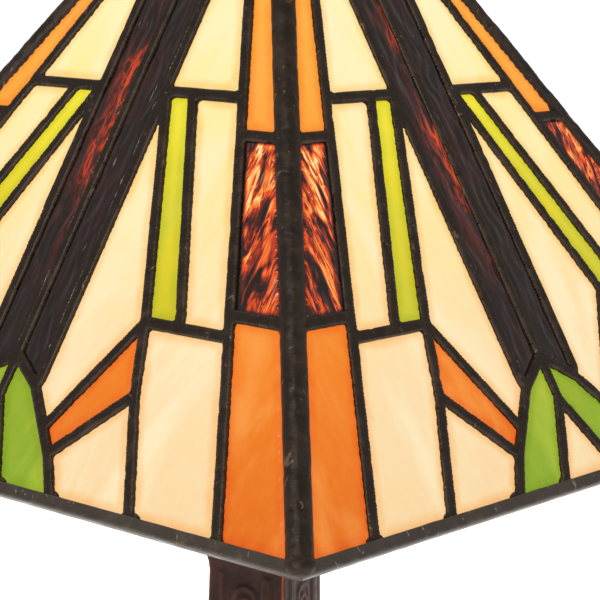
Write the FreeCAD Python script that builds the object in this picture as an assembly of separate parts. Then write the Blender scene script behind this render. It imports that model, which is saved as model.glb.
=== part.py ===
"""Mission-style stained glass table lamp.

A four-sided pyramid shade of foiled and soldered art glass sits on a threaded rod above a square
cast column and a stepped square foot. The shade lifts straight off once its finial is unscrewed.
Frame: +Z up, origin on the floor under the lamp's axis, shade faces square to X and Y.
All sizes are millimetres.
"""
import FreeCAD, Part
import math
import os

Vec = FreeCAD.Vector

# ---------------------------------------------------------------- shade, driving sizes
RIM_Z = 300.0                  # height of the shade's lower edge above the floor
SHADE_SIDE = 356.0             # 14 inch square shade
FACE_SLOPE = 58.24             # angle of each face from horizontal, degrees
SHADE_HEIGHT = 212.0           # rim to the shade's top ring
GLASS_THICK = 3.0
GLASS_INSET = 0.4              # glass surface lies this far behind the face plane
SOLDER_WIDTH = 4.8
SOLDER_PROUD = 0.6
SOLDER_THICK = 5.0
RIM_BAND = 5.3                 # width of the rim channel, measured up the face
RIM_THICK = 6.0
RIM_PROUD = 1.0
HIP_BEAD_R = 4.7               # round bead along each corner
HIP_BEAD_DEPTH = 4.4           # its centre line lies this far inside the corner
HIP_COVER = 5.75               # the bead hides this much of each face beside the corner

# ---------------------------------------------------------------- glass pattern on half a face
# u runs sideways from the face's centre line, w runs up the face from the rim
LOWER_BAR_W = 79.0
UPPER_BAR_W = 177.0
HIP_LOWER_W = 87.5
HIP_UPPER_W = 161.0
STRIP_HALF = 18.5              # half width of the dark centre strip
OUTER_RIM_U = 137.8            # outer long line: where it would meet the rim
OUTER_LEAN = 0.4317            # and how far it leans in per millimetre of w
GREEN_LOW_U = 60.0             # inner long line at the lower bar
GREEN_HIGH_U = 19.5            # and at the upper bar
DIVIDER_LOW_U = 78.5           # line between green and cream strips at the lower bar
DIVIDER_HIGH_U = 34.0          # and at the upper bar
INNER_RIM = (92.4, 5.3)        # inner long line at the rim
KNEE = (70.0, 50.0)            # its slight knee, where the sliver's lower line starts
LEAF_TOP_W = 56.4
LEAF_FORK_W = 38.0
LEAF_SHOULDER = (17.0, 45.3)
SLIVER_TIP_HIGH = (30.5, 29.7)
SLIVER_TIP_LOW = (38.8, 20.2)
LEAF_OUTER_U = 50.0
LEAF_INNER_U = 19.0

# ---------------------------------------------------------------- top hardware
CAP_SIDE = 106.0
CAP_WALL = 2.0
TOP_RING_THICK = 3.0
CAP_RISE = 25.0
CAP_VENTS = 8
CAP_VENT_R = 2.5
CAP_VENT_CIRCLE = 30.0
FINIAL_H = 36.0
ROD_R = 4.8
ROD_BORE_R = 3.3
ROD_FIT = 0.08                 # radial clearance of every turning or threaded fit
ROD_FOOT_Z = 12.0
ROD_ABOVE_CAP = 15.0
NUT_ACROSS = 16.0
CAP_HOLE_R = 5.3

# ---------------------------------------------------------------- light cluster
SOCKET_OFFSET = 44.0           # socket axes from the lamp's axis
SOCKET_AZIMUTH = -45.0         # the sockets stand on the shade's diagonal
SOCKET_R = 18.5
SOCKET_WALL = 1.0
LINER_WALL_GAP = 0.2
SOCKET_CAP_Z = RIM_Z - 4.0
SOCKET_SHELL_Z = RIM_Z + 14.0
SOCKET_MOUTH_Z = RIM_Z + 56.0
BULB_BASE_R = 13.0
BULB_BASE_Z = RIM_Z + 34.0
BULB_R = 28.0
KEY_R = 2.0
ARM_Z = RIM_Z - 18.0
ARM_R = 4.5
ELBOW_R = 12.0
CLUSTER_R = 16.0
CLUSTER_TOP_Z = RIM_Z - 4.0

# ---------------------------------------------------------------- column and foot
BASE_TURN = 14.8               # the column and foot stand turned from the shade
COLUMN_Z = (46.0, 262.0)
COLUMN_NECK_Z = 230.0          # the plain shaft ends here and the flared capital starts
COLUMN_SIDES = (46.0, 38.4)    # shaft sides at the foot and at the neck
CAPITAL_SIDE = 44.0
CAPITAL_FLARE_RISE = 14.0      # the capital reaches its full side this far above the neck
CAPITAL_STEPS = 8
COLUMN_WALL = 3.0
COLUMN_EDGE_R = 1.6
COLUMN_CAP_SIDE = 46.0
COLUMN_CAP_THICK = 5.0
LOW_NUT_THICK = 4.0            # the nut between column cap and light cluster
RELIEF = 0.8
RIB_OFFSETS = (9.6, 12.0)      # centre lines of the paired ribs from the face's middle
RIB_HALF = 0.65
RIB_TOP_BELOW = 1.0            # neck down to the ribs' upper ends
RIB_BOTTOM_ABOVE = 20.0
LOOP_TOP_BELOW = 6.5
LOOPS = ((5.8, 0.0, 1.2), (3.1, 5.0, 1.1))   # half width, distance inside the outer end, line width
FOOT_SIDE = 188.0
FOOT_TIERS = ((188.0, 188.0, 2.0, 20.0), (164.0, 156.0, 20.0, 28.0),
              (132.0, 126.0, 28.0, 34.0), (104.0, 58.0, 34.0, 46.0))
FOOT_WALL = 4.0
FELT_THICK = 2.0
COVER_TOP = 3.6                # upper side of the bottom cover, where the ballast rests
BALLAST_SIDE = 140.0
BALLAST_TOP = 10.0
BALLAST_HOLE_R = 22.0
SCREW_PLACE = 82.0
SCREW_R = 1.5
POST_R = 5.0
POST_RISE = 13.0
FOOT_HOLLOW_TOP = 34.0         # tiers above this height stay solid
INLET_Z = 9.8
INLET_R = 3.2
INLET_BARREL = 1.4             # thickness of the bushing round the cord
INLET_FLANGE = 2.4

# ---------------------------------------------------------------- derived
HALF = SHADE_SIDE / 2
APEX = HALF * math.tan(math.radians(FACE_SLOPE))
SLANT = math.hypot(HALF, APEX)
TOP_W = SHADE_HEIGHT * SLANT / APEX
TOP_HALF = HALF * (1 - SHADE_HEIGHT / APEX)
CAP_Z = RIM_Z + SHADE_HEIGHT + TOP_RING_THICK
CAP_TOP = CAP_Z + CAP_RISE
HALF_LINE = SOLDER_WIDTH / 2
HIP_LEAN = HALF / SLANT
FACES = (("front", -90.0), ("right", 0.0), ("back", 90.0), ("left", 180.0))


# ================================================================ helpers
def export(name, shape):
    """Write one node, checking that every solid in it is valid."""
    for solid in shape.Solids:
        if not solid.isValid() or solid.Volume <= 0:
            raise RuntimeError("bad solid in " + name)
    shape.exportStep("parts/" + name + ".step")
    print(name, len(shape.Solids), round(shape.Volume, 1))


def group(shapes):
    """Several separate solids as one node."""
    return Part.makeCompound([solid for shape in shapes for solid in shape.Solids])


def turned(shape, degrees):
    """A copy of a shape turned about the lamp's axis."""
    copy = shape.copy()
    copy.rotate(Vec(0, 0, 0), Vec(0, 0, 1), degrees)
    return copy


def polygon_wire(points, z=0.0):
    return Part.makePolygon([Vec(x, y, z) for x, y in points] + [Vec(*points[0], z)])


def prism(points, z0, z1):
    """A straight prism over a flat outline."""
    return Part.Face(polygon_wire(points, z0)).extrude(Vec(0, 0, z1 - z0))


def square(side):
    h = side / 2
    return [(-h, -h), (h, -h), (h, h), (-h, h)]


def frustum(side0, side1, z0, z1):
    """A square block whose side changes from side0 to side1."""
    return Part.makeLoft([polygon_wire(square(side0), z0), polygon_wire(square(side1), z1)], True, True)


def tube(outer, inner, z0, z1, x=0.0, y=0.0):
    body = Part.makeCylinder(outer, z1 - z0, Vec(x, y, z0))
    return body.cut(Part.makeCylinder(inner, z1 - z0, Vec(x, y, z0)))


def hex_nut(across, bore, z0, z1):
    points = [(across / 2 / math.cos(math.pi / 6) * math.cos(math.radians(60 * i)),
               across / 2 / math.cos(math.pi / 6) * math.sin(math.radians(60 * i))) for i in range(6)]
    return prism(points, z0, z1).cut(Part.makeCylinder(bore, z1 - z0, Vec(0, 0, z0)))


def lathe(profile, x=0.0, y=0.0):
    """Turn a closed (radius, z) outline about a vertical axis through x, y."""
    wire = Part.makePolygon([Vec(r, 0, z) for r, z in profile] + [Vec(profile[0][0], 0, profile[0][1])])
    solid = Part.Face(wire).revolve(Vec(0, 0, 0), Vec(0, 0, 1), 360)
    solid.translate(Vec(x, y, 0))
    return solid


def smooth_lathe(outline, floor_z, x=0.0, y=0.0):
    """Turn a smooth outline that ends on the axis, closed by a flat floor."""
    points = [Vec(r, 0, z) for r, z in outline]
    curve = Part.BSplineCurve()
    curve.interpolate(points)
    axis_low = Vec(0, 0, floor_z)
    edges = [curve.toShape(), Part.makeLine(points[-1], axis_low), Part.makeLine(axis_low, points[0])]
    solid = Part.Face(Part.Wire(edges)).revolve(Vec(0, 0, 0), Vec(0, 0, 1), 360)
    solid.translate(Vec(x, y, 0))
    return solid


# ================================================================ shade geometry
def to_face(shape, azimuth):
    """Move a shape from face coordinates (u, w, outward) onto the face with this azimuth."""
    c = math.cos(math.radians(azimuth))
    s = math.sin(math.radians(azimuth))
    matrix = FreeCAD.Matrix(-s, -c * HALF / SLANT, c * APEX / SLANT, c * HALF,
                            c, -s * HALF / SLANT, s * APEX / SLANT, s * HALF,
                            0, APEX / SLANT, HALF / SLANT, RIM_Z,
                            0, 0, 0, 1)
    copy = shape.copy()
    copy.Placement = FreeCAD.Placement(matrix)
    return copy


def outer_u(w):
    return OUTER_RIM_U - OUTER_LEAN * w


def hip_u(w):
    """Edge of the glass next to the corner bead, as a solder centre line."""
    lean = math.hypot(1, HIP_LEAN)
    return HALF - HIP_LEAN * w - (HIP_COVER - HALF_LINE) * lean


def inset(points):
    """Move every side of an anticlockwise outline in by half a solder line."""
    count = len(points)
    sides = []
    for i in range(count):
        (x0, y0), (x1, y1) = points[i], points[(i + 1) % count]
        length = math.hypot(x1 - x0, y1 - y0)
        nx, ny = -(y1 - y0) / length, (x1 - x0) / length
        sides.append((nx, ny, nx * x0 + ny * y0 + HALF_LINE))
    result = []
    for i in range(count):
        a1, b1, c1 = sides[i - 1]
        a2, b2, c2 = sides[i]
        det = a1 * b2 - a2 * b1
        result.append(((c1 * b2 - c2 * b1) / det, (a1 * c2 - a2 * c1) / det))
    return result


def half_face_cells():
    """Glass cells on the u > 0 half, as (colour, outline through solder centre lines)."""
    low = RIM_BAND - HALF_LINE
    high = TOP_W - HALF_LINE
    bar_low = (GREEN_LOW_U, LOWER_BAR_W)
    bar_high = (GREEN_HIGH_U, UPPER_BAR_W)
    cream = [
        [(INNER_RIM[0], low), (outer_u(low), low), (outer_u(LOWER_BAR_W), LOWER_BAR_W), bar_low, KNEE],
        [(DIVIDER_LOW_U, LOWER_BAR_W), (outer_u(LOWER_BAR_W), LOWER_BAR_W),
         (outer_u(UPPER_BAR_W), UPPER_BAR_W), (DIVIDER_HIGH_U, UPPER_BAR_W)],
        [(STRIP_HALF, UPPER_BAR_W), (outer_u(UPPER_BAR_W), UPPER_BAR_W),
         (outer_u(high), high), (STRIP_HALF, high)],
        [LEAF_SHOULDER, SLIVER_TIP_HIGH, bar_low, bar_high, (STRIP_HALF, LEAF_SHOULDER[1] + 3)],
        [SLIVER_TIP_LOW, (LEAF_OUTER_U, low), (INNER_RIM[0], low), KNEE],
    ]
    green = [
        [bar_low, (DIVIDER_LOW_U, LOWER_BAR_W), (DIVIDER_HIGH_U, UPPER_BAR_W), bar_high],
        [(0, LEAF_TOP_W), (0, LEAF_FORK_W), (LEAF_INNER_U, low), (LEAF_OUTER_U, low),
         SLIVER_TIP_LOW, SLIVER_TIP_HIGH, LEAF_SHOULDER],
    ]
    orange = [
        [(outer_u(low), low), (hip_u(low), low), (hip_u(HIP_LOWER_W), HIP_LOWER_W),
         (outer_u(HIP_LOWER_W), HIP_LOWER_W)],
        [(outer_u(HIP_UPPER_W), HIP_UPPER_W), (hip_u(HIP_UPPER_W), HIP_UPPER_W),
         (hip_u(high), high), (outer_u(high), high)],
        [SLIVER_TIP_HIGH, SLIVER_TIP_LOW, KNEE, bar_low],
    ]
    ripple = [
        [(outer_u(HIP_LOWER_W), HIP_LOWER_W), (hip_u(HIP_LOWER_W), HIP_LOWER_W),
         (hip_u(HIP_UPPER_W), HIP_UPPER_W), (outer_u(HIP_UPPER_W), HIP_UPPER_W)],
        [(0, LEAF_TOP_W), LEAF_SHOULDER, (STRIP_HALF, LEAF_SHOULDER[1] + 3),
         (STRIP_HALF, high), (0, high)],
    ]
    return {"cream": cream, "green": green, "orange": orange, "ripple": ripple}


def face_outlines():
    """Every glass outline of a whole face, grouped by colour."""
    outlines = {}
    for colour, cells in half_face_cells().items():
        outlines[colour] = []
        for cell in cells:
            shape = inset(cell)
            outlines[colour].append(shape)
            outlines[colour].append([(-u, w) for u, w in reversed(shape)])
    low = RIM_BAND - HALF_LINE
    kite = [(0, LEAF_FORK_W), (-LEAF_INNER_U, low), (LEAF_INNER_U, low)]
    outlines["cream"].append(inset(kite))
    return outlines


def wedge(azimuth, z0, z1, reach=400.0):
    """The quarter of space that one face owns, mitred at the corners."""
    return turned(prism([(0, 0), (reach, -reach), (reach, reach)], z0, z1), azimuth)


def hip_beads():
    """Four round solder beads, one down each corner of the shade."""
    beads = []
    inward = Vec(-APEX, 0, -HALF * math.sqrt(2))
    inward.normalize()
    foot = Vec(HALF * math.sqrt(2), 0, RIM_Z) + inward * HIP_BEAD_DEPTH
    along = Vec(-HALF * math.sqrt(2), 0, APEX)
    along.normalize()
    rod = Part.makeCylinder(HIP_BEAD_R, 2 * SLANT, foot - along * 60.0, along)
    hip_foot = RIM_BAND * APEX / SLANT + RIM_PROUD * HALF / SLANT
    slab = Part.makeBox(800, 800, SHADE_HEIGHT - hip_foot, Vec(-400, -400, RIM_Z + hip_foot))
    trimmed = rod.common(slab)
    for index in range(4):
        beads.append(turned(trimmed, 45.0 + 90.0 * index))
    return beads


def make_shade():
    outlines = face_outlines()
    glass_back = -GLASS_INSET - GLASS_THICK
    glass_front = -GLASS_INSET
    panes = {colour: [prism(o, glass_back, glass_front) for o in shapes]
             for colour, shapes in outlines.items()}
    pockets = [prism(o, -10.0, 10.0) for shapes in outlines.values() for o in shapes]
    back = SOLDER_PROUD - SOLDER_THICK
    sheet = prism([(-HALF - 9, RIM_BAND), (HALF + 9, RIM_BAND), (TOP_HALF + 9, TOP_W + 9),
                   (-TOP_HALF - 9, TOP_W + 9)], back, SOLDER_PROUD)
    tongue = prism([(-HALF, 1.6), (HALF, 1.6), (HALF, RIM_BAND), (-HALF, RIM_BAND)],
                   glass_back, glass_front)
    lattice = sheet.fuse(tongue).cut(Part.makeCompound(pockets)).removeSplitter()
    channel = prism([(-HALF - 9, 0), (HALF + 9, 0), (HALF + 9, RIM_BAND), (-HALF - 9, RIM_BAND)],
                    RIM_PROUD - RIM_THICK, RIM_PROUD)
    groove = prism([(-HALF - 9, 1.6), (HALF + 9, 1.6), (HALF + 9, RIM_BAND + 1),
                    (-HALF - 9, RIM_BAND + 1)], glass_back, glass_front)
    channel = channel.cut(groove)
    beads = hip_beads()
    bead_tool = Part.makeCompound(beads)
    top = RIM_Z + SHADE_HEIGHT
    for name, azimuth in FACES:
        own = wedge(azimuth, RIM_Z - 10, top)
        for colour, solids in panes.items():
            placed = [to_face(pane, azimuth) for pane in solids]
            if colour in ("orange", "ripple"):
                placed = [pane.cut(bead_tool) for pane in placed]
            export(name + "_" + colour + "_glass", group(placed))
        lines = to_face(lattice, azimuth).common(own).cut(bead_tool)
        # the thin corner slivers outside the beads are dropped
        export(name + "_solder_lines", max(lines.Solids, key=lambda solid: solid.Volume))
        export(name + "_rim_channel", to_face(channel, azimuth).common(own))
    corners = ("back_right", "back_left", "front_left", "front_right")
    for corner, bead in zip(corners, beads):
        export(corner + "_hip_bead", bead)


def make_top():
    """Square ring, vented cap and finial that close the shade."""
    ring_z = RIM_Z + SHADE_HEIGHT
    plate = prism(square(2 * TOP_HALF + 4), ring_z, CAP_Z)
    export("top_ring", plate.cut(prism(square(2 * TOP_HALF - 16), ring_z, CAP_Z)))
    steps = ((CAP_SIDE, CAP_SIDE - 4, 0.0, 5.0),
             (CAP_SIDE - 18, 46.0, 5.0, 18.0),
             (36.0, 32.0, 18.0, CAP_RISE))
    outer = None
    inner = None
    for side0, side1, low, high in steps:
        block = frustum(side0, side1, CAP_Z + low, CAP_Z + high)
        floor = CAP_Z if low == 0 else CAP_Z + low - CAP_WALL - 0.5
        ceiling = CAP_Z + high - CAP_WALL
        hollow = frustum(side0 - 2 * CAP_WALL, side1 - 2 * CAP_WALL, floor, ceiling)
        outer = block if outer is None else outer.fuse(block)
        inner = hollow if inner is None else inner.fuse(hollow)
    cap = outer.removeSplitter().cut(inner)
    cap = cap.cut(Part.makeCylinder(CAP_HOLE_R, 80, Vec(0, 0, CAP_Z)))
    for index in range(CAP_VENTS):
        angle = 2 * math.pi * (index + 0.5) / CAP_VENTS
        place = Vec(CAP_VENT_CIRCLE * math.cos(angle), CAP_VENT_CIRCLE * math.sin(angle), CAP_Z)
        cap = cap.cut(Part.makeCylinder(CAP_VENT_R, 2 * CAP_RISE, place))
    export("vase_cap", cap)
    profile = [(11.0, 0.0), (11.0, 2.5), (7.2, 4.5), (6.6, 8.0), (9.0, 10.5), (9.0, 12.5), (6.8, 15.0),
               (8.6, 20.0), (8.2, 25.0), (5.2, 30.0), (2.2, 34.0), (0.0, FINIAL_H), (0.0, 20.0),
               (ROD_R + ROD_FIT, 17.5), (ROD_R + ROD_FIT, 0.0)]
    export("finial", lathe([(r, CAP_TOP + z) for r, z in profile]))


# ================================================================ rod and light cluster
def socket_place(sign):
    angle = math.radians(SOCKET_AZIMUTH)
    return sign * SOCKET_OFFSET * math.cos(angle), sign * SOCKET_OFFSET * math.sin(angle)


def make_rod():
    """The threaded rod that ties foot, column, cluster and shade together, with its nuts."""
    export("threaded_rod", tube(ROD_R, ROD_BORE_R, ROD_FOOT_Z, CAP_TOP + ROD_ABOVE_CAP))
    shoulder = CAP_TOP - CAP_WALL
    nut_top = FOOT_HOLLOW_TOP - FOOT_WALL - 1.5
    on_column = COLUMN_Z[1] + COLUMN_CAP_THICK
    spans = [(nut_top - 5.0, nut_top), (on_column, on_column + LOW_NUT_THICK),
             (CLUSTER_TOP_Z, CLUSTER_TOP_Z + 5.0), (shoulder - 6.6, shoulder - 1.6)]
    export("rod_nuts", group([hex_nut(NUT_ACROSS, ROD_R, z0, z1) for z0, z1 in spans]))
    washers = [tube(13.0, ROD_R, nut_top, nut_top + 1.5), tube(12.0, ROD_R, shoulder - 1.6, shoulder)]
    export("rod_washers", group(washers))


def make_cluster():
    low = COLUMN_Z[1] + COLUMN_CAP_THICK + LOW_NUT_THICK
    high = CLUSTER_TOP_Z
    profile = [(ROD_R, low), (9.0, low), (CLUSTER_R, low + 6), (CLUSTER_R, high - 5), (10.0, high),
               (ROD_R, high)]
    cup = lathe(profile)
    arms = []
    for sign in (1, -1):
        direction = SOCKET_AZIMUTH + (0 if sign > 0 else 180)
        reach = SOCKET_OFFSET - ELBOW_R
        start = Vec(CLUSTER_R - 1.0, 0, ARM_Z)
        bend = Vec(reach, 0, ARM_Z)
        half_turn = ELBOW_R * math.sin(math.pi / 4)
        middle = Vec(reach + half_turn, 0, ARM_Z + ELBOW_R - half_turn)
        rise = Vec(SOCKET_OFFSET, 0, ARM_Z + ELBOW_R)
        path = Part.Wire([Part.makeLine(start, bend), Part.Arc(bend, middle, rise).toShape(),
                          Part.makeLine(rise, Vec(SOCKET_OFFSET, 0, SOCKET_CAP_Z))])
        section = Part.Wire(Part.makeCircle(ARM_R, start, Vec(1, 0, 0)))
        arm = turned(path.makePipeShell([section], True, True), direction)
        arms.append(arm.cut(cup))
    export("cluster_cup", cup)
    export("cluster_arms", group(arms))


def make_socket(side, sign):
    x, y = socket_place(sign)
    z0 = SOCKET_CAP_Z
    inside = SOCKET_R - SOCKET_WALL
    cap = lathe([(0, z0), (8, z0), (SOCKET_R, z0 + 9), (SOCKET_R, SOCKET_SHELL_Z), (inside, SOCKET_SHELL_Z),
                 (inside, z0 + 10), (7, z0 + 2), (0, z0 + 2)], x, y)
    shell = tube(SOCKET_R, inside, SOCKET_SHELL_Z, SOCKET_MOUTH_Z, x, y)
    bead = tube(SOCKET_R + 1.2, SOCKET_R - 0.2, SOCKET_MOUTH_Z - 3, SOCKET_MOUTH_Z, x, y)
    outward = Vec(x, y, 0).normalize()
    key_z = SOCKET_SHELL_Z + 8.0
    shaft_start = Vec(x, y, key_z) + outward * 9.0
    hole = Part.makeCylinder(KEY_R + ROD_FIT, 30, shaft_start, outward)
    export("socket_shell_" + side, shell.fuse(bead).removeSplitter().cut(hole))
    export("socket_cap_" + side, cap)
    liner_r = inside - LINER_WALL_GAP
    liner = tube(liner_r, BULB_BASE_R + ROD_FIT, BULB_BASE_Z - 3, SOCKET_MOUTH_Z - 2, x, y)
    floor = Part.makeCylinder(liner_r, 4, Vec(x, y, BULB_BASE_Z - 7))
    contact = Part.makeCylinder(3.0, 2.2, Vec(x, y, BULB_BASE_Z - 3))
    export("socket_liner_" + side, liner.fuse(floor).removeSplitter())
    export("centre_contact_" + side, contact)
    shaft = Part.makeCylinder(KEY_R, 18.0, shaft_start, outward)
    paddle_at = shaft_start + outward * 18.0
    paddle = Part.makeCylinder(6.5, 3.0, Vec(0, 0, -1.5))
    paddle = paddle.common(Part.makeBox(12, 8, 3, Vec(-6, -4, -1.5)))
    paddle.rotate(Vec(0, 0, 0), Vec(0, 0, 1), SOCKET_AZIMUTH)
    paddle.translate(paddle_at + outward * 5.0)
    export("turn_key_" + side, shaft.fuse(paddle).removeSplitter())


def make_bulb(side, sign):
    x, y = socket_place(sign)
    r = BULB_BASE_R
    z = BULB_BASE_Z
    base = lathe([(0, z), (4, z), (5, z + 2), (r - 2, z + 4), (r, z + 6), (r, z + 24), (r - 1.5, z + 24),
                  (r - 1.5, z + 7), (0, z + 5)], x, y)
    seat = z + 24.0
    outline = [(r - 0.6, 0.0), (r + 1.5, 10.0), (21.5, 26.0), (BULB_R, 45.0), (24.5, 62.0), (13.5, 73.0),
               (0.0, 77.0)]
    outer = smooth_lathe([(a, seat + b) for a, b in outline], seat, x, y)
    thin = 1.4
    core = [(max(a - thin, 0.0), seat + (b if b < 60 else b - thin)) for a, b in outline]
    export("bulb_base_" + side, base)
    export("bulb_glass_" + side, outer.cut(smooth_lathe(core, seat, x, y)))


# ================================================================ column and foot
def stadium(half_width, low, high):
    """A tall rounded outline with half-circle ends."""
    a = Vec(half_width, low + half_width, 0)
    b = Vec(half_width, high - half_width, 0)
    c = Vec(-half_width, high - half_width, 0)
    d = Vec(-half_width, low + half_width, 0)
    edges = [Part.makeLine(a, b), Part.Arc(b, Vec(0, high, 0), c).toShape(),
             Part.makeLine(c, d), Part.Arc(d, Vec(0, low, 0), a).toShape()]
    return Part.Face(Part.Wire(edges))


def column_relief(height):
    """Raised ribs and nested arched loops for one column face, in face coordinates."""
    thick = Vec(0, 0, RELIEF + 1.0)
    pieces = []
    rib_low = RIB_BOTTOM_ABOVE
    rib_high = height - RIB_TOP_BELOW
    for sign in (1, -1):
        for offset in RIB_OFFSETS:
            rib = stadium(RIB_HALF, rib_low, rib_high)
            rib.translate(Vec(sign * offset, 0, -1.0))
            pieces.append(rib.extrude(thick))
    loop_high = height - LOOP_TOP_BELOW
    for half_width, step, line in LOOPS:
        ring = stadium(half_width, rib_low + step, loop_high - step)
        ring = ring.cut(stadium(half_width - line, rib_low + step + line, loop_high - step - line))
        ring.translate(Vec(0, 0, -1.0))
        pieces.append(ring.extrude(thick))
    return pieces


def make_column():
    z0, z1 = COLUMN_Z
    side0, side1 = COLUMN_SIDES
    shaft = frustum(side0, side1, z0, COLUMN_NECK_Z)
    upright = [e for e in shaft.Edges if e.BoundBox.ZLength > 100]
    shaft = shaft.makeFillet(COLUMN_EDGE_R, upright)
    lean = math.degrees(math.atan2((side0 - side1) / 2, COLUMN_NECK_Z - z0))
    relief = []
    for index in range(4):
        for piece in column_relief(COLUMN_NECK_Z - z0):
            piece.rotate(Vec(0, 0, 0), Vec(1, 0, 0), 90 - lean)
            piece.translate(Vec(0, -side0 / 2, z0))
            relief.append(turned(piece, 90.0 * index))
    shaft = shaft.fuse(relief).removeSplitter()
    # the capital's sides sweep outward in an S curve, then rise straight
    sections = []
    for step in range(CAPITAL_STEPS + 1):
        rise = step / CAPITAL_STEPS
        flare = 0.5 - 0.5 * math.cos(math.pi * rise)
        side = side1 + (CAPITAL_SIDE - side1) * flare
        sections.append(polygon_wire(square(side), COLUMN_NECK_Z + CAPITAL_FLARE_RISE * rise))
    sections.append(polygon_wire(square(CAPITAL_SIDE), z1))
    column = shaft.fuse(Part.makeLoft(sections, True, True))
    bore_top = side1 - 2 * COLUMN_WALL
    bore = frustum(side0 - 2 * COLUMN_WALL, bore_top, z0, COLUMN_NECK_Z)
    column = column.cut(bore).cut(prism(square(bore_top), COLUMN_NECK_Z, z1))
    export("column", turned(column, BASE_TURN))
    plate = prism(square(COLUMN_CAP_SIDE), z1, z1 + COLUMN_CAP_THICK)
    plate = plate.makeFillet(1.5, [e for e in plate.Edges if e.BoundBox.ZMin > z1 + 4])
    plate = plate.cut(Part.makeCylinder(ROD_R, COLUMN_CAP_THICK, Vec(0, 0, z1)))
    export("column_cap", turned(plate, BASE_TURN))


def make_foot():
    outer = None
    inner = None
    for side0, side1, low, high in FOOT_TIERS:
        block = frustum(side0, side1, low, high)
        if side0 == side1:
            block = block.makeFillet(3.0, [e for e in block.Edges if e.BoundBox.ZMin > high - 1])
        hollow_low = low if outer is None else low - FOOT_WALL
        hollow_high = high - FOOT_WALL
        hollow = frustum(side0 - 2 * FOOT_WALL, side1 - 2 * FOOT_WALL, hollow_low, hollow_high)
        if high <= FOOT_HOLLOW_TOP:
            inner = hollow if inner is None else inner.fuse(hollow)
        outer = block if outer is None else outer.fuse(block)
    shell = outer.removeSplitter().cut(inner)
    shell = shell.cut(Part.makeCylinder(ROD_R, 60, Vec(0, 0, 0)))
    back = Vec(0, 1, 0)
    inlet = Part.makeCylinder(INLET_R + INLET_BARREL, 20, Vec(0, FOOT_SIDE / 2 - 10, INLET_Z), back)
    corners = [(sx * SCREW_PLACE, sy * SCREW_PLACE) for sx in (1, -1) for sy in (1, -1)]
    posts = [Part.makeCylinder(POST_R, POST_RISE, Vec(px, py, COVER_TOP)) for px, py in corners]
    shell = shell.cut(inlet).fuse(posts).removeSplitter()
    pilots = [Part.makeCylinder(SCREW_R, 5.4, Vec(px, py, COVER_TOP)) for px, py in corners]
    shell = shell.cut(Part.makeCompound(pilots))
    export("foot_shell", turned(shell, BASE_TURN))
    # the rubber bushing in the cord's inlet, flanged on both sides of the wall
    wall_in = FOOT_SIDE / 2 - FOOT_WALL
    flange_r = INLET_R + INLET_FLANGE
    barrel = Part.makeCylinder(INLET_R + INLET_BARREL, FOOT_WALL, Vec(0, wall_in, INLET_Z), back)
    flange_in = Part.makeCylinder(flange_r, 1.2, Vec(0, wall_in - 1.2, INLET_Z), back)
    flange_out = Part.makeCylinder(flange_r, 1.2, Vec(0, FOOT_SIDE / 2, INLET_Z), back)
    core = Part.makeCylinder(INLET_R, 30, Vec(0, FOOT_SIDE / 2 - 15, INLET_Z), back)
    bushing = barrel.fuse([flange_in, flange_out]).removeSplitter().cut(core)
    export("cord_bushing", turned(bushing, BASE_TURN))
    # ballast ring, bottom cover, its screws and the felt
    ballast = prism(square(BALLAST_SIDE), COVER_TOP, BALLAST_TOP)
    ballast = ballast.cut(Part.makeCylinder(BALLAST_HOLE_R, BALLAST_TOP, Vec(0, 0, 0)))
    export("ballast_plate", turned(ballast, BASE_TURN))
    cover_side = FOOT_SIDE - 2 * FOOT_WALL - 0.6
    cover = prism(square(cover_side), FELT_THICK, COVER_TOP)
    holes = [Part.makeCylinder(SCREW_R, 1.6, Vec(px, py, FELT_THICK)) for px, py in corners]
    export("bottom_cover", turned(cover.cut(Part.makeCompound(holes)), BASE_TURN))
    screws = [Part.makeCylinder(SCREW_R, 6.4, Vec(px, py, FELT_THICK)) for px, py in corners]
    export("cover_screws", turned(group(screws), BASE_TURN))
    felt = prism(square(FOOT_SIDE - 6.0), 0.0, FELT_THICK)
    export("felt_pad", turned(felt, BASE_TURN))


def main():
    os.makedirs("parts", exist_ok=True)
    make_shade()
    make_top()
    make_rod()
    make_cluster()
    for side, sign in (("front", 1), ("back", -1)):
        make_socket(side, sign)
        make_bulb(side, sign)
    make_column()
    make_foot()


main()
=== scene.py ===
"""Looks of the mission-style stained glass table lamp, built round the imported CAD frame.

Metres, same frame as the CAD: origin on the floor under the lamp, shade faces square to X and Y.
"""
import math

import bmesh
import bpy
import numpy as np
from mathutils import Matrix, Vector, noise


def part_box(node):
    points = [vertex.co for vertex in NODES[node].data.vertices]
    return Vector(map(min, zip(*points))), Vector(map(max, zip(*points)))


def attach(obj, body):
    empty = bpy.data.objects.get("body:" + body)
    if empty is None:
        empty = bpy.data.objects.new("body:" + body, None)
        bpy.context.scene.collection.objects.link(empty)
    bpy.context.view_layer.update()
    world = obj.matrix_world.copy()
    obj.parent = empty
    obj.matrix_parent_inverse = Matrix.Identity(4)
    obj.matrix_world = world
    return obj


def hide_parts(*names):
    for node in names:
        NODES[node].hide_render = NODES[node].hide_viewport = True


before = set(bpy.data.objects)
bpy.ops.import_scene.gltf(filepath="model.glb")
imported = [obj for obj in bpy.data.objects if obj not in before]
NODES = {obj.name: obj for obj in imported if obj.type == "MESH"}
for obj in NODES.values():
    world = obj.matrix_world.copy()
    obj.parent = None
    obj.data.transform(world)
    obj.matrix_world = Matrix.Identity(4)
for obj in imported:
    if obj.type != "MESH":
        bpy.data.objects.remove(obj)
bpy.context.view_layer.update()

# ---------------------------------------------------------------- sizes that the shade was drawn to
MM = 0.001
RIM_Z = 300 * MM
HALF = 178 * MM
FACE_SLOPE = math.radians(58.24)
APEX = HALF * math.tan(FACE_SLOPE)
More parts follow.
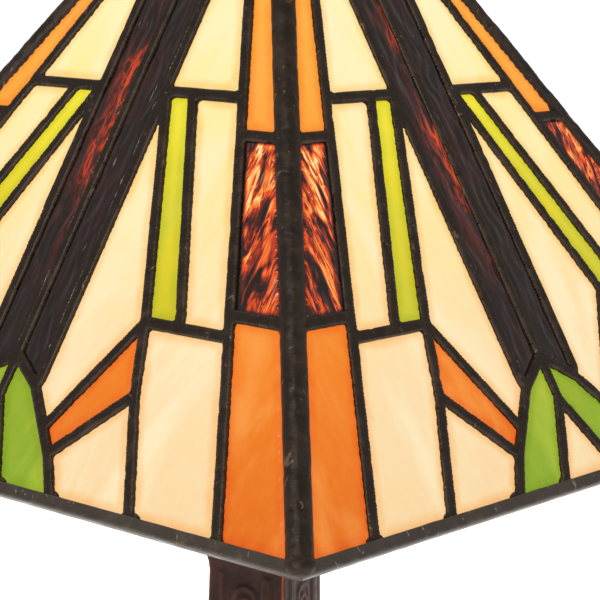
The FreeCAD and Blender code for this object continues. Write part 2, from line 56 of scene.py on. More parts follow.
SLANT = math.hypot(HALF, APEX)
FACES = {"front": -90.0, "right": 0.0, "back": 90.0, "left": 180.0}
BASE_TURN = math.radians(14.8)                              # column and foot, from the shade
RIM_LINE_ENDS = (19 * MM, 50 * MM, 92.4 * MM, 135.5 * MM)   # solder lines that reach the rim
SEED_STEP = 17.3                                            # separates one piece's noise from the next
MERGE_GAP = 0.001 * MM       # corners of the CAD mesh nearer than this are one
FULL_WEAR = 0.25 * MM        # a point that stands out by this much is fully worn
ARRIS_WIDTH = 2.2 * MM       # reach of the rubbed stripe along the base's corners


# ================================================================ mesh tools
def face_axes(azimuth):
    """The sideways, upslope and outward directions of a face, and the midpoint of its rim."""
    c = math.cos(math.radians(azimuth))
    s = math.sin(math.radians(azimuth))
    side = np.array([-s, c, 0.0])
    up = np.array([-c * HALF / SLANT, -s * HALF / SLANT, APEX / SLANT])
    out = np.array([c * APEX / SLANT, s * APEX / SLANT, HALF / SLANT])
    middle = np.array([c * HALF, s * HALF, RIM_Z])
    return side, up, out, middle


def coords(mesh):
    """Positions of a mesh's points, one row each."""
    co = np.empty(len(mesh.vertices) * 3, np.float64)
    mesh.vertices.foreach_get("co", co)
    return co.reshape(-1, 3)


def set_coords(mesh, co):
    mesh.vertices.foreach_set("co", np.ascontiguousarray(co, np.float32).ravel())
    mesh.update()


def normals(mesh):
    no = np.empty(len(mesh.vertices) * 3, np.float64)
    mesh.vertex_normals.foreach_get("vector", no)
    return no.reshape(-1, 3)


def edge_pairs(mesh):
    """The two point numbers of each edge."""
    pairs = np.empty(len(mesh.edges) * 2, np.int64)
    mesh.edges.foreach_get("vertices", pairs)
    return pairs.reshape(-1, 2)


def smoothed(mesh, co, rounds, factor=0.5):
    """Even out positions along the mesh's edges."""
    pairs = edge_pairs(mesh)
    count = np.bincount(pairs.ravel(), minlength=len(co))[:, None]
    result = co.copy()
    for _ in range(rounds):
        total = np.zeros_like(result)
        for axis in range(3):
            total[:, axis] += np.bincount(pairs[:, 0], result[pairs[:, 1], axis], len(co))
            total[:, axis] += np.bincount(pairs[:, 1], result[pairs[:, 0], axis], len(co))
        result += factor * (total / count - result)
    return result


def wobble(points, size, seed):
    """Smooth noise from -1 to 1 at every point, with features of about this size."""
    scaled = points / size + seed * SEED_STEP
    return np.array([noise.noise(Vector(p)) for p in scaled])


def finished(work, name):
    """A new mesh from a bmesh that is complete."""
    mesh = bpy.data.meshes.new(name)
    work.to_mesh(mesh)
    work.free()
    return mesh


def new_object(name, data):
    """A new object, linked to the scene."""
    made = bpy.data.objects.new(name, data)
    bpy.context.scene.collection.objects.link(made)
    return made


def clean_copy(node):
    """The CAD node's mesh with its split corners merged."""
    work = bmesh.new()
    work.from_mesh(NODES[node].data)
    bmesh.ops.remove_doubles(work, verts=work.verts, dist=MERGE_GAP)
    return finished(work, node + "_copy")


def remesh(mesh, voxel, name):
    """A new object of even quads over the same shape."""
    holder = new_object(name, mesh)
    modifier = holder.modifiers.new("even", "REMESH")
    modifier.mode = "VOXEL"
    modifier.voxel_size = voxel
    modifier.adaptivity = 0.0
    graph = bpy.context.evaluated_depsgraph_get()
    result = bpy.data.meshes.new_from_object(holder.evaluated_get(graph))
    bpy.data.objects.remove(holder)
    piece = new_object(name, result)
    for polygon in result.polygons:
        polygon.use_smooth = True
    return piece


def joined(meshes, name):
    """Several meshes in one."""
    work = bmesh.new()
    for mesh in meshes:
        work.from_mesh(mesh)
    return finished(work, name)


def blob(centre, size, axes):
    """A solder drop: a ball stretched along three axes."""
    work = bmesh.new()
    bmesh.ops.create_icosphere(work, subdivisions=3, radius=1.0)
    columns = Matrix([axis * extent for axis, extent in zip(axes, size)]).transposed()
    for vert in work.verts:
        vert.co = columns @ vert.co + centre
    return finished(work, "blob")


def give_value(mesh, name, values):
    """One number per point, for a material to read."""
    attribute = mesh.attributes.new(name, "FLOAT", "POINT")
    attribute.data.foreach_set("value", np.ascontiguousarray(values, np.float32))


def give_vector(mesh, name, values):
    """One vector per point, for a material to read."""
    attribute = mesh.attributes.new(name, "FLOAT_VECTOR", "POINT")
    attribute.data.foreach_set("vector", np.ascontiguousarray(values, np.float32).ravel())


def give_wear(mesh, rounds):
    """How far each point stands out from its surroundings, for rubbed edges, about -1 to 1."""
    co = coords(mesh)
    gap = ((co - smoothed(mesh, co, rounds)) * normals(mesh)).sum(1)
    give_value(mesh, "wear", np.clip(gap / FULL_WEAR, -1.0, 1.0))


def give_arris(mesh):
    """Marks the upright corners of the square base, which stands turned from the shade."""
    co = coords(mesh)
    c = math.cos(BASE_TURN)
    s = math.sin(BASE_TURN)
    along_x = np.abs(co[:, 0] * c + co[:, 1] * s)
    along_y = np.abs(co[:, 1] * c - co[:, 0] * s)
    give_value(mesh, "arris", np.clip(1.0 - np.abs(along_x - along_y) / ARRIS_WIDTH, 0.0, 1.0))


# ================================================================ node materials
class Shader:
    """A material under construction: a Principled surface and short calls that add nodes."""

    def __init__(self, name):
        self.material = bpy.data.materials.new(name)
        self.material.use_nodes = True
        self.tree = self.material.node_tree
        self.surface = self.tree.nodes["Principled BSDF"]

    def node(self, kind, **settings):
        made = self.tree.nodes.new(kind)
        for key, value in settings.items():
            setattr(made, key, value)
        return made

    def plug(self, value, socket):
        if isinstance(value, bpy.types.NodeSocket):
            self.tree.links.new(value, socket)
        else:
            socket.default_value = value

    def attribute(self, name, output="Fac"):
        return self.node("ShaderNodeAttribute", attribute_name=name).outputs[output]

    def position(self):
        return self.node("ShaderNodeTexCoord").outputs["Object"]

    def stretch(self, vector, scale):
        made = self.node("ShaderNodeMapping")
        made.inputs["Scale"].default_value = scale
        self.plug(vector, made.inputs["Vector"])
        return made.outputs["Vector"]

    def noise(self, vector, scale, detail=3.0, rough=0.55, warp=0.0):
        made = self.node("ShaderNodeTexNoise")
        self.plug(vector, made.inputs["Vector"])
        made.inputs["Scale"].default_value = scale
        made.inputs["Detail"].default_value = detail
        made.inputs["Roughness"].default_value = rough
        made.inputs["Distortion"].default_value = warp
        return made.outputs["Fac"]

    def math(self, operation, a, b=0.0):
        made = self.node("ShaderNodeMath", operation=operation)
        self.plug(a, made.inputs[0])
        self.plug(b, made.inputs[1])
        return made.outputs[0]

    def band(self, value, low, high, out_low=0.0, out_high=1.0):
        """Smooth step of a value between two limits."""
        made = self.node("ShaderNodeMapRange", interpolation_type="SMOOTHSTEP")
        self.plug(value, made.inputs["Value"])
        for key, number in (("From Min", low), ("From Max", high), ("To Min", out_low), ("To Max", out_high)):
            made.inputs[key].default_value = number
        return made.outputs["Result"]

    def ramp(self, value, stops):
        made = self.node("ShaderNodeValToRGB")
        elements = made.color_ramp.elements
        elements[0].position = stops[0][0]
        elements[0].color = (*stops[0][1], 1.0)
        elements[1].position = stops[-1][0]
        elements[1].color = (*stops[-1][1], 1.0)
        for place, colour in stops[1:-1]:
            elements.new(place).color = (*colour, 1.0)
        self.plug(value, made.inputs["Fac"])
        return made.outputs["Color"]

    def mix(self, factor, a, b, blend="MIX"):
        made = self.node("ShaderNodeMix", data_type="RGBA", blend_type=blend)
        self.plug(factor, made.inputs["Factor"])
        self.plug(a if isinstance(a, bpy.types.NodeSocket) else (*a, 1.0), made.inputs["A"])
        self.plug(b if isinstance(b, bpy.types.NodeSocket) else (*b, 1.0), made.inputs["B"])
        return made.outputs["Result"]

    def set(self, **values):
        """Set shader sockets by name, with _ for spaces."""
        for key, value in values.items():
            socket = self.surface.inputs[key.replace("_", " ")]
            if isinstance(value, tuple) and len(value) == 3:
                value = (*value, 1.0)
            self.plug(value, socket)

    def bump(self, height, strength, distance):
        made = self.node("ShaderNodeBump")
        made.inputs["Strength"].default_value = strength
        made.inputs["Distance"].default_value = distance
        self.plug(height, made.inputs["Height"])
        self.plug(made.outputs["Normal"], self.surface.inputs["Normal"])


def linear(*rgb):
    """Screen colour, 0 to 255, as scene-linear numbers."""
    return tuple(((c / 255 + 0.055) / 1.055) ** 2.4 if c > 10 else c / 255 / 12.92 for c in rgb)


def opal_glass(name, ramp, streak, streak_amount, edge, cloud_scale=30.0, glow=0.90):
    """Opalescent glass whose glow is painted light from the bulbs behind: colour by height up the face, soft
    streaks, and a deeper tint beside the solder that is painted shade.
    """
    shader = Shader(name)
    place = shader.attribute("pane", "Vector")
    split = shader.node("ShaderNodeSeparateXYZ")
    shader.plug(place, split.inputs[0])
    height = shader.math("MULTIPLY", split.outputs["Y"], 1 / (SLANT * 0.75))
    base = shader.ramp(height, ramp)
    swirl = shader.noise(shader.stretch(place, (1.0, 0.32, 0.0)), cloud_scale, 4.0, 0.5, 1.2)
    clouds = shader.band(swirl, 0.46, 0.68, 0.0, streak_amount)
    colour = shader.mix(clouds, base, streak)
    # painted shade: the border beside the solder is darkened and tinted deeper, out to a wavering reach
    fringe = shader.noise(place, 90.0, 2.0)
    reach = shader.math("ADD", split.outputs["Z"], shader.math("MULTIPLY", fringe, -0.004))
    painted_edge_shade = shader.band(reach, -0.0015, 0.0030, 0.60, 0.0)
    colour = shader.mix(painted_edge_shade, colour, edge, "MULTIPLY")
    fine = shader.noise(shader.stretch(place, (1.0, 0.5, 0.0)), 260.0, 2.0)
    colour = shader.mix(shader.band(fine, 0.35, 0.75, 0.0, 0.10), colour, streak)
    # the glow is painted light: the emission stands for the bulbs' light through the glass, and the base
    # colour is kept dim under it
    dim = shader.mix(0.90, colour, (0.0, 0.0, 0.0))
    shader.set(Base_Color=dim, Emission_Color=colour, Emission_Strength=glow, Specular_IOR_Level=0.24)
    shader.set(Roughness=shader.band(split.outputs["Z"], 0.0006, 0.0030, 0.80, 0.18))
    shader.bump(shader.noise(place, 55.0, 3.0), 0.25, 0.0012)
    return shader.material


def ripple_glass(name):
    """Clear dark amber ripple glass: glossy near-black ridges that burn orange where a bulb is behind."""
    shader = Shader(name)
    place = shader.attribute("pane", "Vector")
    backlight = shader.attribute("backlight")
    wide = shader.noise(shader.stretch(place, (1.0, 0.17, 0.0)), 210.0, 2.0, 0.5, 1.1)
    thin = shader.noise(shader.stretch(place, (1.0, 0.24, 0.0)), 430.0, 1.5, 0.5, 0.9)
    wide_fold = shader.math("ABSOLUTE", shader.math("SUBTRACT", wide, 0.5))
    thin_fold = shader.math("ABSOLUTE", shader.math("SUBTRACT", thin, 0.5))
    streak = shader.math("MAXIMUM", shader.band(wide_fold, 0.0, 0.10, 1.0, 0.0),
                         shader.band(thin_fold, 0.0, 0.075, 0.75, 0.0))
    broken = shader.noise(shader.stretch(place, (1.0, 0.30, 0.0)), 150.0, 2.5, 0.6, 0.8)
    pool = shader.band(broken, 0.34, 0.56)
    flame = shader.math("ADD", shader.math("MULTIPLY", shader.math("MULTIPLY", streak, pool), 0.72),
                        shader.math("MULTIPLY", pool, 0.30))
    lit = shader.math("MULTIPLY", flame, backlight)
    glow = shader.ramp(lit, [(0.0, linear(14, 8, 5)), (0.10, linear(70, 20, 8)), (0.24, linear(168, 46, 12)),
                             (0.42, linear(232, 84, 22)), (0.60, linear(255, 138, 46)),
                             (0.80, linear(255, 208, 118)), (1.0, linear(255, 246, 205))])
    shader.set(Base_Color=linear(18, 11, 8), Roughness=0.14, Emission_Color=glow, Emission_Strength=1.0,
               Specular_IOR_Level=0.42, Coat_Weight=0.25, Coat_Roughness=0.05)
    shader.bump(wide, 0.35, 0.0014)
    return shader.material


def patina(name, dark, light, copper, rough=0.42, metallic=0.35):
    """Chemically blackened solder: satin, with paler rubbed lumps, hair scratches and specks of copper."""
    shader = Shader(name)
    place = shader.position()
    wear = shader.attribute("wear")
    mottled = shader.noise(place, 110.0, 5.0, 0.65)
    scratches = shader.noise(shader.stretch(place, (1.0, 1.0, 5.0)), 380.0, 2.0, 0.7, 0.6)
    rub = shader.math("ADD", shader.math("MULTIPLY", wear, 0.25), mottled)
    colour = shader.mix(shader.band(rub, 0.48, 0.92, 0.0, 0.55), dark, light)
    curls = shader.noise(shader.stretch(place, (1.0, 1.0, 0.3)), 240.0, 1.0, 0.5, 2.0)
    hairs = shader.band(curls, 0.70, 0.74, 0.0, 0.5)
    colour = shader.mix(hairs, colour, tuple(c * 2.4 for c in light))
    specks = shader.band(shader.noise(place, 60.0, 4.0, 0.7), 0.69, 0.76, 0.0, 0.5)
    colour = shader.mix(specks, colour, copper)
    shader.set(Base_Color=colour, Metallic=metallic, Specular_IOR_Level=0.35)
    shader.set(Roughness=shader.band(mottled, 0.25, 0.75, rough - 0.12, rough + 0.16))
    shader.bump(shader.math("ADD", mottled, shader.math("MULTIPLY", scratches, 0.3)), 0.45, 0.0007)
    return shader.material


def rubbed_bronze(name, deep, brown, copper):
    """Cast metal with a red-brown painted finish, rubbed to copper along its arrises."""
    shader = Shader(name)
    place = shader.position()
    wear = shader.attribute("wear")
    arris = shader.attribute("arris")
    cloud = shader.noise(place, 60.0, 5.0, 0.6)
    fine = shader.noise(place, 420.0, 3.0, 0.6)
    colour = shader.mix(shader.band(cloud, 0.35, 0.70), deep, brown)
    raised = shader.band(wear, 0.15, 0.9, 0.0, 0.35)
    colour = shader.mix(raised, colour, tuple(c * 1.8 for c in brown))
    rubbed = shader.math("ADD", arris, shader.math("MULTIPLY", cloud, 0.5))
    colour = shader.mix(shader.band(rubbed, 0.80, 1.20, 0.0, 0.9), colour, copper)
    hollow = shader.band(wear, -0.7, -0.05, 0.7, 0.0)
    colour = shader.mix(hollow, colour, tuple(c * 0.35 for c in deep))
    shader.set(Base_Color=colour, Metallic=0.1, Specular_IOR_Level=0.20)
    shader.set(Roughness=shader.band(fine, 0.3, 0.7, 0.36, 0.50))
    shader.bump(shader.math("ADD", fine, cloud), 0.35, 0.0005)
    return shader.material


def plain_metal(name, dark, light, rough, scale=120.0, metallic=1.0):
    """Small hardware: two mottled tones with fine machining or casting grain."""
    shader = Shader(name)
    place = shader.position()
    cloud = shader.noise(place, scale, 4.0, 0.6)
    grain = shader.noise(shader.stretch(place, (1.0, 1.0, 9.0)), scale * 5, 2.0)
    shader.set(Base_Color=shader.mix(shader.band(cloud, 0.3, 0.7), dark, light), Metallic=metallic)
    shader.set(Roughness=shader.band(grain, 0.2, 0.8, rough - 0.07, rough + 0.09))
    shader.bump(grain, 0.2, 0.0003)
    return shader.material


def soft_matter(name, dark, light, rough, scale, depth, sheen=0.0):
    """Non-metals: moulded plastic, rubber, glazed ceramic or felt."""
    shader = Shader(name)
    place = shader.position()
    cloud = shader.noise(place, scale, 5.0, 0.7)
    shader.set(Base_Color=shader.mix(shader.band(cloud, 0.3, 0.7), dark, light), Sheen_Weight=sheen)
    shader.set(Roughness=shader.band(cloud, 0.2, 0.8, rough - 0.05, rough + 0.08))
    shader.bump(cloud, 0.5, depth)
    return shader.material


def lit_bulb(name):
    """Frosted bulb glass, glowing, brightest round its middle."""
    shader = Shader(name)
    place = shader.position()
    split = shader.node("ShaderNodeSeparateXYZ")
    shader.plug(place, split.inputs[0])
    belly = shader.band(split.outputs["Z"], RIM_Z + 58 * MM, RIM_Z + 95 * MM)
    frost = shader.noise(place, 160.0, 3.0)
    colour = shader.mix(belly, (1.0, 0.46, 0.14), (1.0, 0.78, 0.42))
    colour = shader.mix(shader.band(frost, 0.3, 0.8, 0.0, 0.15), colour, (1.0, 0.90, 0.66))
    shader.set(Base_Color=(0.10, 0.09, 0.08), Roughness=0.35, Emission_Color=colour, Emission_Strength=1.0)
    shader.bump(frost, 0.2, 0.0004)
    return shader.material


# ================================================================ pieces
def dress(piece, node, body, material):
    """Ride the body, stand for the CAD node and take the finish."""
    piece.data.materials.clear()
    piece.data.materials.append(material)
    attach(piece, body)
    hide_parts(node)


NO_LENGTH2 = 1e-12           # squared length under which an edge is a point
FACING = 0.9                 # a pane's outer face points outward at least this much
EDGE_LIMIT = 30 * MM         # distances to a pane's edge stop counting here


def outline_edges(mesh, out):
    """End points of the sharp edges round the outer faces of flat panes."""
    work = bmesh.new()
    work.from_mesh(mesh)
    work.normal_update()
    direction = Vector(out)
    starts = []
    ends = []
    for edge in work.edges:
        facing = [f.normal.dot(direction) > FACING for f in edge.link_faces]
        if len(facing) == 2 and facing[0] != facing[1]:
            starts.append(edge.verts[0].co[:])
            ends.append(edge.verts[1].co[:])
    work.free()
    return np.array(starts), np.array(ends)


def nearest_on_edges(points, starts, ends):
    """Nearest place on any of the edges to each point, and its distance."""
    best = np.full(len(points), np.inf)
    place = points.copy()
    for a, b in zip(starts, ends):
        along = b - a
        length2 = along @ along
        if length2 < NO_LENGTH2:
            continue
        t = np.clip((points - a) @ along / length2, 0.0, 1.0)
        on_edge = a + t[:, None] * along
        gap = ((points - on_edge) ** 2).sum(1)
        closer = gap < best
        best[closer] = gap[closer]
        place[closer] = on_edge[closer]
    return place, np.sqrt(best)


PANE_SPREAD = 0.9 * MM       # panes run this far under the solder
TUCK = 0.35 * MM             # and their rounded border dips by this much
OPAL_VOXEL = 1.6 * MM
RIPPLE_VOXEL = 0.9 * MM
RIPPLE_DEPTH = 1.0 * MM


def pane_start(node, azimuth, voxel, name):
    """A pane group's even mesh, the face's outward direction and each point's distance to a pane edge."""
    flat = clean_copy(node)
    out = face_axes(azimuth)[2]
    starts, ends = outline_edges(flat, out)
    piece = remesh(flat, voxel, name)
    gap = nearest_on_edges(coords(piece.data), starts, ends)[1]
    return piece, out, np.minimum(gap, EDGE_LIMIT)


def pane_frame(piece, azimuth):
    """Coordinates of a pane's points along the face: sideways, up the slope and outward."""
    side, up, out, middle = face_axes(azimuth)
    local = coords(piece.data) - middle
    return np.stack([local @ side, local @ up, local @ out], 1)


def make_opal(face, azimuth, colour, seed, material):
    """Opalescent glass: faintly uneven panes whose rounded border runs under the solder."""
    node = f"{face}_{colour}_glass"
    piece, out, gap = pane_start(node, azimuth, OPAL_VOXEL, f"{face}_{colour}_panes")
    mesh = piece.data
    co = coords(mesh)
    outward = normals(mesh)
    flatness = outward @ out
    sideways = outward - flatness[:, None] * out
    waves = wobble(co, 22 * MM, seed) * 0.22 * MM + wobble(co, 7 * MM, seed + 1) * 0.07 * MM
    tuck = TUCK * np.clip(1.0 - gap / PANE_SPREAD, 0.0, 1.0)
    co += sideways * PANE_SPREAD + out * (waves * np.clip(gap / (6 * MM), 0, 1) - tuck)[:, None]
    set_coords(mesh, co)
    place = pane_frame(piece, azimuth)
    give_vector(mesh, "pane", np.stack([place[:, 0], place[:, 1], gap], 1) + [seed * 1.0, 0, 0])
    dress(piece, node, "shade", material)


STRIP_LIMIT = 24 * MM                      # panes nearer the centre line belong to the dark strip
LONG_LINE_U, LONG_LINE_LEAN = 137.8 * MM, 0.4317   # the long outer solder line at the rim, and its lean
LONG_LINE_STRETCH = math.hypot(1.0, LONG_LINE_LEAN)


def make_ripple(face, azimuth, seed, material):
    """Hand-rolled ripple glass: wavering ridges that run up the pane."""
    node = f"{face}_ripple_glass"
    piece, out, gap = pane_start(node, azimuth, RIPPLE_VOXEL, f"{face}_ripple_panes")
    mesh = piece.data
    co = coords(mesh)
    outward = normals(mesh)
    sideways = outward - (outward @ out)[:, None] * out
    place = pane_frame(piece, azimuth)
    bend = wobble(place, 15 * MM, seed + 2)
    drawn = np.stack([place[:, 0] + bend * 2.6 * MM, place[:, 1] * 0.26, place[:, 2] * 0], 1)
    ridge = wobble(drawn, 5.0 * MM, seed) * 0.9 + wobble(drawn, 2.6 * MM, seed + 1) * 0.3
    ridge = 1.0 - np.abs(ridge) * 2.4
    front = np.clip(outward @ out, 0, 1)
    tuck = TUCK * np.clip(1.0 - gap / PANE_SPREAD, 0.0, 1.0)
    lift = (ridge * 0.5 - 0.15) * RIPPLE_DEPTH * front * np.clip(gap / (2 * MM), 0, 1)
    co += sideways * PANE_SPREAD + out * (lift - tuck)[:, None]
    set_coords(mesh, co)
    u, w = place[:, 0], place[:, 1]
    # The bulbs' light is painted into the glass: hot orange in the corner panes, falling off toward the
    # outside and held back in painted shade beside the long outer solder line and the pane borders, with
    # faint painted glints in the dark centre strip.
    corner = np.abs(u) > STRIP_LIMIT
    patch = wobble(place, 26 * MM, seed + 4)
    inner = np.clip(1.0 - (np.abs(u) - 72 * MM) / (70 * MM), 0.45, 1.0)
    from_line = (np.abs(u) - LONG_LINE_U + LONG_LINE_LEAN * w) / LONG_LINE_STRETCH
    shaded = np.clip((from_line - (3.6 + 0.8 * bend) * MM) / (1.4 * MM), 0, 1)
    shaded *= np.clip((gap - 0.4 * MM) / (1 * MM), 0, 1)
    hot = (1.18 + 0.34 * patch) * inner * shaded
    glint_band = np.exp(-((w - 160 * MM) / (52 * MM)) ** 2)
    glint_side = np.where(u < 0, np.clip(1.25 + u / (13 * MM), 0.1, 1.0), 0.06)
    glint = 0.50 * glint_band * glint_side * np.clip(0.62 + 0.9 * patch, 0, 1) + 0.015
    give_vector(mesh, "pane", np.stack([u, w, gap], 1) + [seed * 1.0, 0, 0])
    give_value(mesh, "backlight", np.clip(np.where(corner, hot, glint), 0, 1))
    dress(piece, node, "shade", material)


SOLDER_VOXEL = 0.65 * MM
RIM_VOXEL = 0.65 * MM
HIP_REACH = 5.5 * MM         # points nearer a corner line than this belong to its thick bead
SOLDER_PROUD = 0.6 * MM      # the lines' height above the plane of the face
SHOULDER = 0.75 * MM         # radius where their top turns down to the glass
SNAP_REACH = 0.55 * MM       # side walls this near a pane's outline are laid on it
GLASS_BACK = -2.5 * MM       # and only above this depth
BEAD_SWELL = 0.35 * MM       # the corner beads stand this far past the CAD's
DROP_SIZE = (5.0 * MM, 3.4 * MM, 2.1 * MM)          # half sizes of a rim drop: sideways, upslope, outward
DROP_SPREAD = 0.9 * MM                              # how much their widths vary
DROP_PLACE = (3.9 * MM, 0.6 * MM)                   # up the slope from the rim, and in from the face
CORNER_DROP_SIZE = (6.4 * MM, 5.8 * MM, 4.2 * MM)   # half sizes of a corner drop: away, across, up
CORNER_DROP_PLACE = (7.0 * MM, 2.6 * MM)            # in from the rim's corner, and up


def puffed(mesh, amount):
    """The mesh with every point moved out along its normal."""
    set_coords(mesh, coords(mesh) + normals(mesh) * amount)
    return mesh


def solder_drops():
    """Drops where the lines run into the rim channel, and a heavier one at each corner."""
    drops = []
    for number, azimuth in enumerate(FACES.values()):
        side, up, out, middle = (Vector(v) for v in face_axes(azimuth))
        for index, distance in enumerate(RIM_LINE_ENDS):
            for sign in (1, -1):
                centre = middle + side * (sign * distance) + up * DROP_PLACE[0] - out * DROP_PLACE[1]
                width = DROP_SIZE[0] + DROP_SPREAD * math.sin(3.1 * index + 2.3 * sign + number)
                drops.append(blob(centre, (width, *DROP_SIZE[1:]), (side, up, out)))
        angle = math.radians(azimuth + 45)
        away = Vector((math.cos(angle), math.sin(angle), 0))
        across = Vector((-away.y, away.x, 0))
        corner = away * (HALF * math.sqrt(2) - CORNER_DROP_PLACE[0])
        corner.z = RIM_Z + CORNER_DROP_PLACE[1]
        drops.append(blob(corner, CORNER_DROP_SIZE, (away, across, Vector((0, 0, 1)))))
    return drops


def crisp_lines(co, outward, corner_gap):
    """Straight sides and evenly rounded shoulders where the solder meets the panes."""
    for face, azimuth in FACES.items():
        side, up, out, middle = face_axes(azimuth)
        starts = []
        ends = []
        for colour in ("cream", "green", "orange", "ripple"):
            first, last = outline_edges(clean_copy(f"{face}_{colour}_glass"), out)
            starts.append(first)
            ends.append(last)
        flat = np.stack([side, up], 1)
        starts = (np.concatenate(starts) - middle) @ flat
        ends = (np.concatenate(ends) - middle) @ flat
        outward_side = co[:, :2] @ out[:2] > np.abs(co[:, :2] @ side[:2]) * np.hypot(*out[:2])
        own = outward_side & (corner_gap > HIP_REACH)
        local = co[own] - middle
        plane = local @ flat
        height = local @ out
        facing = outward[own] @ out
        place, gap = nearest_on_edges(plane, starts, ends)
        wall = (gap < SNAP_REACH) & (facing < 0.8) & (height > GLASS_BACK)
        plane[wall] = place[wall]
        gap[wall] = 0.0
        inset = np.clip(SHOULDER - gap, 0.0, SHOULDER)
        drop = SHOULDER - np.sqrt(SHOULDER ** 2 - inset ** 2)
        top = (facing > 0.3) | wall
        height[top] = np.minimum(height[top], SOLDER_PROUD - drop[top])
        co[own] = middle + plane @ flat.T + height[:, None] * out
    return co


def make_solder(material):
    """All the hand-run solder: flat lattices, the four corner beads and the drops along the rim."""
    lattices = [face + "_solder_lines" for face in FACES]
    beads = [corner + "_hip_bead" for corner in ("front_right", "back_right", "back_left", "front_left")]
    meshes = [clean_copy(node) for node in lattices]
    meshes += [puffed(clean_copy(node), BEAD_SWELL) for node in beads]
    meshes += solder_drops()
    piece = remesh(joined(meshes, "solder"), SOLDER_VOXEL, "shade_solder")
    mesh = piece.data
    co = smoothed(mesh, coords(mesh), 1)
    set_coords(mesh, co)
    corner_gap = np.abs(np.abs(co[:, 0]) - np.abs(co[:, 1])) / math.sqrt(2)
    co = crisp_lines(co, normals(mesh), corner_gap)
    set_coords(mesh, co)
    hip = np.clip((HIP_REACH - corner_gap) / (2 * MM), 0.0, 1.0)
    waves = 0.16 * wobble(co, 12 * MM, 7.0) + 0.10 * wobble(co, 4.0 * MM, 8.0)
    chips = np.clip(np.abs(wobble(co, 6 * MM, 9.0)) - 0.42, 0.0, 1.0)
    swell = 0.03 + waves * (1.0 + 1.2 * hip) - 1.0 * chips * (1.0 + 0.6 * hip)
    co += normals(mesh) * (swell * MM)[:, None]
    set_coords(mesh, co)
    give_wear(mesh, 6)
    piece.data.materials.append(material)
    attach(piece, "shade")
    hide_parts(*lattices, *beads)


def make_rim(face, seed, material):
    """The folded rim channel, faintly dented."""
    node = f"{face}_rim_channel"
    piece = remesh(clean_copy(node), RIM_VOXEL, node + "_look")
    mesh = piece.data
    co = smoothed(mesh, coords(mesh), 1)
    co += normals(mesh) * (0.07 * MM * wobble(co, 9 * MM, seed))[:, None]
    set_coords(mesh, co)
    give_wear(mesh, 8)
    dress(piece, node, "shade", material)


def make_casting(node, voxel, rounds, seed, body, material):
    """A cast or spun piece with softened edges and a faint unevenness."""
    piece = remesh(clean_copy(node), voxel, node + "_look")
    mesh = piece.data
    co = smoothed(mesh, coords(mesh), rounds)
    set_coords(mesh, co)
    co += normals(mesh) * (wobble(co, 9 * MM, seed) * 0.06 * MM)[:, None]
    set_coords(mesh, co)
    give_wear(mesh, 10)
    give_arris(mesh)
    dress(piece, node, body, material)


def finish_node(node, material):
    """A CAD node that keeps its shape gets its finish."""
    mesh = NODES[node].data
    mesh.materials.clear()
    mesh.materials.append(material)


# ================================================================ the lamp
# each glass: colour up the face, streak colour and amount, painted shade tint beside the solder, cloud scale
CREAM = opal_glass("cream_glass", [(0.0, linear(250, 216, 164)), (0.25, linear(254, 223, 172)),
                                   (0.45, linear(254, 230, 164)), (0.70, linear(254, 238, 158)),
                                   (1.0, linear(255, 246, 190))],
                   linear(255, 246, 208), 0.50, linear(255, 206, 138), 24.0)
GREEN = opal_glass("green_glass", [(0.0, linear(140, 172, 46)), (0.20, linear(150, 176, 40)),
                                   (0.34, linear(214, 200, 38)), (0.55, linear(240, 220, 48)),
                                   (0.72, linear(255, 238, 64)), (1.0, linear(255, 238, 70))],
                   linear(200, 210, 74), 0.4, linear(214, 224, 120), 26.0)
ORANGE = opal_glass("orange_glass", [(0.0, linear(228, 110, 24)), (0.25, linear(244, 130, 32)),
                                     (0.55, linear(252, 158, 52)), (0.75, linear(254, 174, 62)),
                                     (1.0, linear(255, 182, 70))],
                    linear(255, 172, 84), 0.5, linear(250, 190, 130), 30.0)
RIPPLE = ripple_glass("ripple_glass")
SOLDER = patina("patina_solder", linear(41, 29, 19), linear(86, 69, 54), linear(150, 84, 50))
CHANNEL = patina("patina_channel", linear(72, 63, 55), linear(116, 104, 92), linear(130, 90, 62), 0.38)
CASTING = rubbed_bronze("bronze_casting", linear(42, 20, 13), linear(66, 35, 25), linear(180, 80, 50))
HARDWARE = rubbed_bronze("bronze_hardware", linear(36, 24, 18), linear(74, 50, 36), linear(160, 104, 66))

for number, (face, azimuth) in enumerate(FACES.items()):
    seed = 10.0 * number + 1.0
    make_opal(face, azimuth, "cream", seed, CREAM)
    make_opal(face, azimuth, "green", seed + 2, GREEN)
    make_opal(face, azimuth, "orange", seed + 4, ORANGE)
    make_ripple(face, azimuth, seed + 6, RIPPLE)
    make_rim(face, seed + 8, CHANNEL)
make_solder(SOLDER)

make_casting("column", 0.85 * MM, 2, 91.0, "root", CASTING)
make_casting("foot_shell", 1.5 * MM, 2, 92.0, "root", CASTING)
make_casting("column_cap", 0.8 * MM, 2, 93.0, "root", HARDWARE)
make_casting("vase_cap", 0.8 * MM, 2, 94.0, "shade", HARDWARE)
make_casting("finial", 0.5 * MM, 3, 95.0, "finial", HARDWARE)
make_casting("top_ring", 0.9 * MM, 1, 96.0, "shade", HARDWARE)

